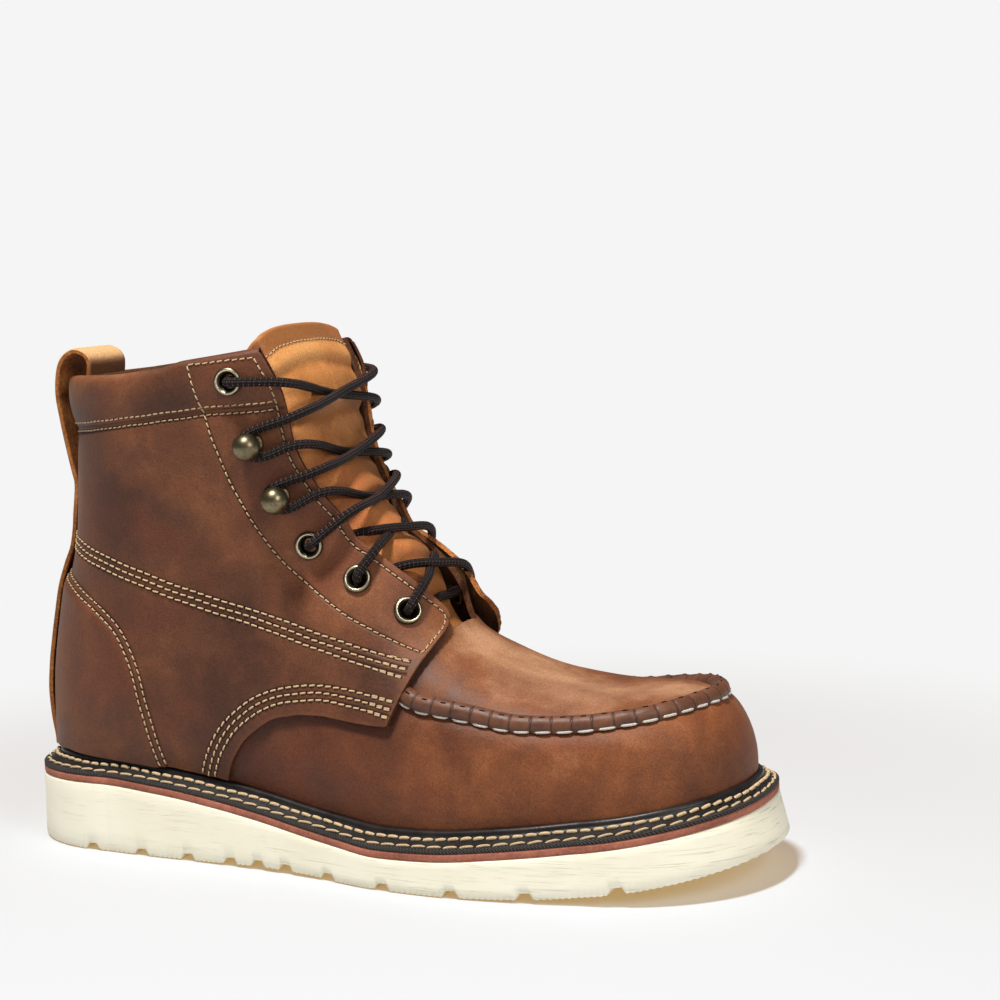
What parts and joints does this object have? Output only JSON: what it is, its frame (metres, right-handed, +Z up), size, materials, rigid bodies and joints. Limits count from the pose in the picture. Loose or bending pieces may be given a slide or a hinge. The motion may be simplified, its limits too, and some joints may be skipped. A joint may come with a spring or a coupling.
{
  "type": "moc toe work boot",
  "caption": "Ankle-high laced leather work boot for the right foot with a raised moc toe seam, wedge sole, welt, heel pull loop, eyelets and ball hooks.",
  "frame": {"origin": "middle of the sole on the floor: centre of the bounding box in x and y, lowest tread face in z", "axes": "+X to the toe, +Y to the inner side of the foot (the wearer's left), +Z up"},
  "size_m": [0.2992, 0.1064, 0.1992],
  "materials": {
    "leather": "oiled brown leather with a fine grain and soft sheen",
    "tongue_leather": "lighter tan leather, matt",
    "outsole_rubber": "cream foamed rubber, matt",
    "midsole_rubber": "reddish brown sheet, matt",
    "welt_rubber": "black, half matt",
    "insole_fabric": "tan fabric over foam",
    "brass": "antique brass",
    "lace_fabric": "dark braided cord"
  },
  "bodies": {
    "root": {"backstay_loop": "leather", "collar": "leather", "counter": "leather", "eyelet_lateral_1": "brass", "eyelet_lateral_2": "brass", "eyelet_lateral_3": "brass", "eyelet_lateral_4": "brass", "eyelet_medial_1": "brass", "eyelet_medial_2": "brass", "eyelet_medial_3": "brass", "eyelet_medial_4": "brass", "hook_lateral_1": "brass", "hook_lateral_2": "brass", "hook_medial_1": "brass", "hook_medial_2": "brass", "insole": "insole_fabric", "lace_cross_1": "lace_fabric", "lace_cross_2": "lace_fabric", "lace_cross_3": "lace_fabric", "lace_cross_4": "lace_fabric", "lace_cross_5": "lace_fabric", "midsole": "midsole_rubber", "moc_seam": "leather", "outsole": "outsole_rubber", "quarter_lateral": "leather", "quarter_medial": "leather", "tongue": "tongue_leather", "upper": "leather", "welt": "welt_rubber"}
  },
  "joints": []
}
